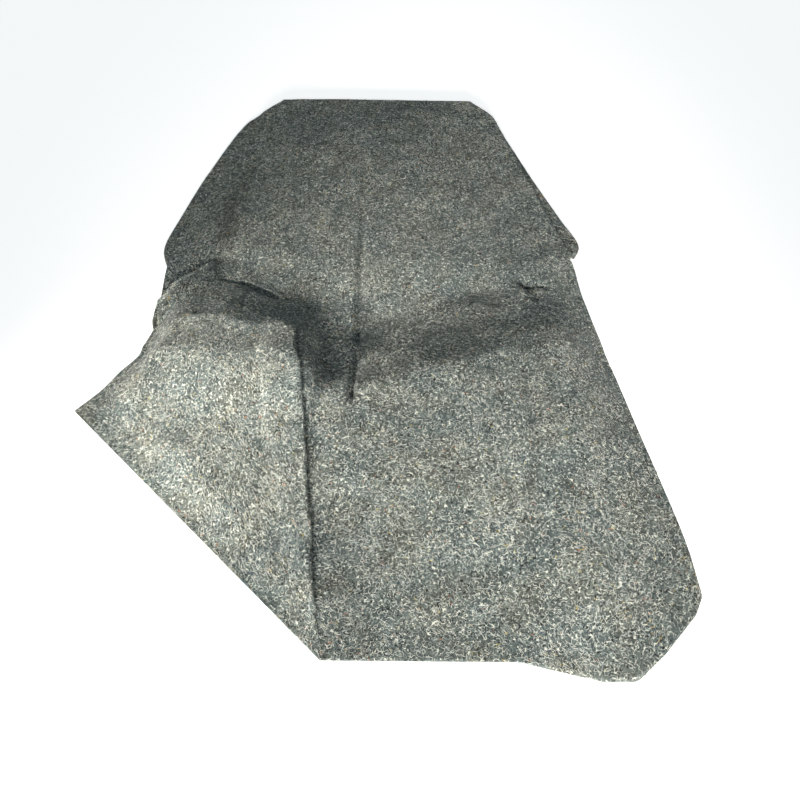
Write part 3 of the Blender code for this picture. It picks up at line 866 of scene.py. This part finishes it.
def fibres(kind, normals, cover):
    """One joined mesh of strands of a kind, each with its own colour."""
    rng = np.random.default_rng(kind.seed)
    template, corners = strand_template()
    row, column, width, length = visible_places(rng, kind.count, normals, cover)
    strand_length = rng.uniform(*kind.length, kind.count)
    heading = rng.uniform(0.0, 2.0 * np.pi, kind.count)
    bend = rng.normal(0.0, kind.curl, kind.count)
    wave = rng.normal(0.0, kind.curl / 2.0, kind.count)
    stride = strand_length / STRAND_STEPS
    centre_rows = [row]
    centre_columns = [column]
    for step in range(STRAND_STEPS):
        angle = heading + bend * step / STRAND_STEPS + wave * (-1) ** step / 2.0
        cell = (
            np.clip(centre_rows[-1].astype(int), 0, len(rows) - 2),
            np.clip(centre_columns[-1].astype(int), 0, COLUMNS - 2),
        )
        cell_width = np.maximum(width[cell], LEAST_CELL)
        cell_length = np.maximum(length[cell], LEAST_CELL)
        centre_columns.append(centre_columns[-1] + stride * np.cos(angle) / cell_width)
        centre_rows.append(centre_rows[-1] + stride * np.sin(angle) / cell_length)
    centre_rows = np.clip(np.stack(centre_rows, 1), -OVERHANG, len(rows) - 1 + OVERHANG)
    centre_columns = np.clip(np.stack(centre_columns, 1), -OVERHANG, COLUMNS - 1 + OVERHANG)
    centre = read_grid(rows, centre_rows, centre_columns)
    up = read_grid(normals, centre_rows, centre_columns)
    up /= np.linalg.norm(up, axis=-1, keepdims=True)
    lift = rng.uniform(*kind.lift, (kind.count, STRAND_STEPS + 1))
    lift[:, 0] = lift[:, -1] = 0.0
    centre = centre + up * (THICKNESS / 2.0 + lift)[..., None]
    forward = np.gradient(centre, axis=1)
    side = np.cross(forward, up)
    side /= np.maximum(np.linalg.norm(side, axis=-1, keepdims=True), 1e-9)
    radius = rng.uniform(*kind.width, (kind.count, 1, 1)) / 2.0
    ring = np.rint(template[:, 2] + STRAND_STEPS / 2).astype(int)
    points = centre[:, ring] + radius * (
        side[:, ring] * template[None, :, :1] + up[:, ring] * STRAND_FLATNESS * template[None, :, 1:2]
    )
    faces = corners[None] + (np.arange(kind.count) * len(template))[:, None, None]
    mesh = bpy.data.meshes.new(kind.name)
    mesh.from_pydata(points.reshape(-1, 3).tolist(), [], faces.reshape(-1, 3).tolist())
    palette = np.array([linear(colour) for colour, _ in kind.colours])
    weights = np.array([weight for _, weight in kind.colours], float)
    pick = rng.choice(len(palette), size=kind.count, p=weights / weights.sum())
    shades = palette[pick]
    # Each strand takes the painted shade and highlight of the felt where it starts
    shades[:, :3] *= rng.uniform(*STRAND_SHADES, (kind.count, 1)) * read_grid(painted_light_tones[..., None], row, column)
    tint = mesh.color_attributes.new("Fibre colour", "FLOAT_COLOR", "POINT")
    tint.data.foreach_set("color", np.repeat(shades, len(template), axis=0).ravel())
    return placed(kind.name, mesh)


def textile_fibre():
    """Crimped textile fibre: matt, with its own dyed or undyed colour and a faint sheen."""
    material = bpy.data.materials.new("crimped_textile_fibre")
    material.use_nodes = True
    tree = material.node_tree
    shader = tree.nodes["Principled BSDF"]
    tint = node(tree, "ShaderNodeAttribute", {"attribute_name": "Fibre colour"})
    tree.links.new(tint.outputs["Color"], shader.inputs["Base Color"])
    shader.inputs["Roughness"].default_value = 0.8
    shader.inputs["Specular IOR Level"].default_value = 0.25
    return material


normals = surface_normals(rows)
corner = np.arange(rows.shape[0] * COLUMNS).reshape(rows.shape[0], COLUMNS)
quads = np.stack([corner[:-1, :-1], corner[:-1, 1:], corner[1:, 1:], corner[1:, :-1]], -1).reshape(-1, 4)
cover = BVHTree.FromPolygons(rows.reshape(-1, 3).tolist(), quads.tolist())
fibre_material = textile_fibre()
for kind in FIBRES:
    strands = fibres(kind, normals, cover)
    strands.data.materials.append(fibre_material)
    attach(strands, "root")

# The floor. A plain sheet of matt white studio paper, just under the underside of the blanket. It
# glows a little, so that it reads as an even white with only a faint shade round the felt.
FLOOR_SIZE = 14.0
FLOOR_DROP = 0.0004
FLOOR_GLOW = 0.72
floor_form = bmesh.new()
bmesh.ops.create_grid(floor_form, x_segments=1, y_segments=1, size=FLOOR_SIZE / 2.0)
bmesh.ops.translate(floor_form, verts=floor_form.verts[:], vec=(0.0, 0.0, -FLOOR_DROP))
floor_mesh = bpy.data.meshes.new("studio_floor")
floor_form.to_mesh(floor_mesh)
floor_form.free()
floor = placed("studio_floor", floor_mesh)
paper = bpy.data.materials.new("pale_studio_paper")
paper.use_nodes = True
paper_shader = paper.node_tree.nodes["Principled BSDF"]
paper_shader.inputs["Base Color"].default_value = linear("#f2f2f1")
paper_shader.inputs["Roughness"].default_value = 0.9
paper_shader.inputs["Specular IOR Level"].default_value = 0.1
paper_shader.inputs["Emission Color"].default_value = linear("#ffffff")
paper_shader.inputs["Emission Strength"].default_value = FLOOR_GLOW
floor_mesh.materials.append(paper)

# Lights and camera. Two soft, narrow lights stand low in front, side by side, one more lights the
# left flap, which is the brightest, and the pale room fills. The camera looks down from the front at
# the photograph's angle.
ROOM_COLOUR = linear("#e0eef1")
ROOM_STRENGTH = 0.28
AIM = Vector((0.062, -0.219, 0.0))
CAMERA_ELEVATION = 52.0
CAMERA_DISTANCE = 1.45
FOCAL_PER_SENSOR = 1.0
SENSOR_MM = 36.0

# Places, aims and sizes in metres, spreads in degrees and powers in watts
StudioLight = namedtuple("StudioLight", "name place aim size spread power colour")
LIGHTS = (
    StudioLight("key_left", (-0.34, -2.2, 0.65), (-0.17, -0.50, 0.0), 0.5, 27.0, 2.5, "#fff9f1"),
    StudioLight("key_right", (0.40, -2.2, 0.65), (0.37, -0.52, 0.0), 0.5, 26.0, 3.1, "#fff9f1"),
    StudioLight("flap_accent", (-1.60, -1.60, 0.78), (-0.40, -0.35, 0.03), 0.35, 18.0, 1.55, "#fff7ec"),
)

for light in LIGHTS:
    lamp = bpy.data.lights.new(light.name, "AREA")
    lamp.shape = "SQUARE"
    lamp.size = light.size
    lamp.spread = np.radians(light.spread)
    lamp.energy = light.power
    lamp.color = linear(light.colour)[:3]
    lit = placed(light.name, lamp)
    lit.location = light.place
    lit.rotation_euler = (Vector(light.aim) - Vector(light.place)).to_track_quat("-Z", "Y").to_euler()

world = bpy.data.worlds.new("studio")
world.use_nodes = True
room = world.node_tree.nodes["Background"]
room.inputs["Color"].default_value = ROOM_COLOUR
room.inputs["Strength"].default_value = ROOM_STRENGTH
scene.world = world
scene.view_settings.view_transform = "Standard"

elevation = np.radians(CAMERA_ELEVATION)
lens = bpy.data.cameras.new("camera")
lens.sensor_width = SENSOR_MM
lens.lens = SENSOR_MM * FOCAL_PER_SENSOR
camera = placed("camera", lens)
camera.location = AIM + CAMERA_DISTANCE * Vector((0.0, -np.cos(elevation), np.sin(elevation)))
camera.rotation_euler = (np.pi / 2.0 - elevation, 0.0, 0.0)
scene.camera = camera
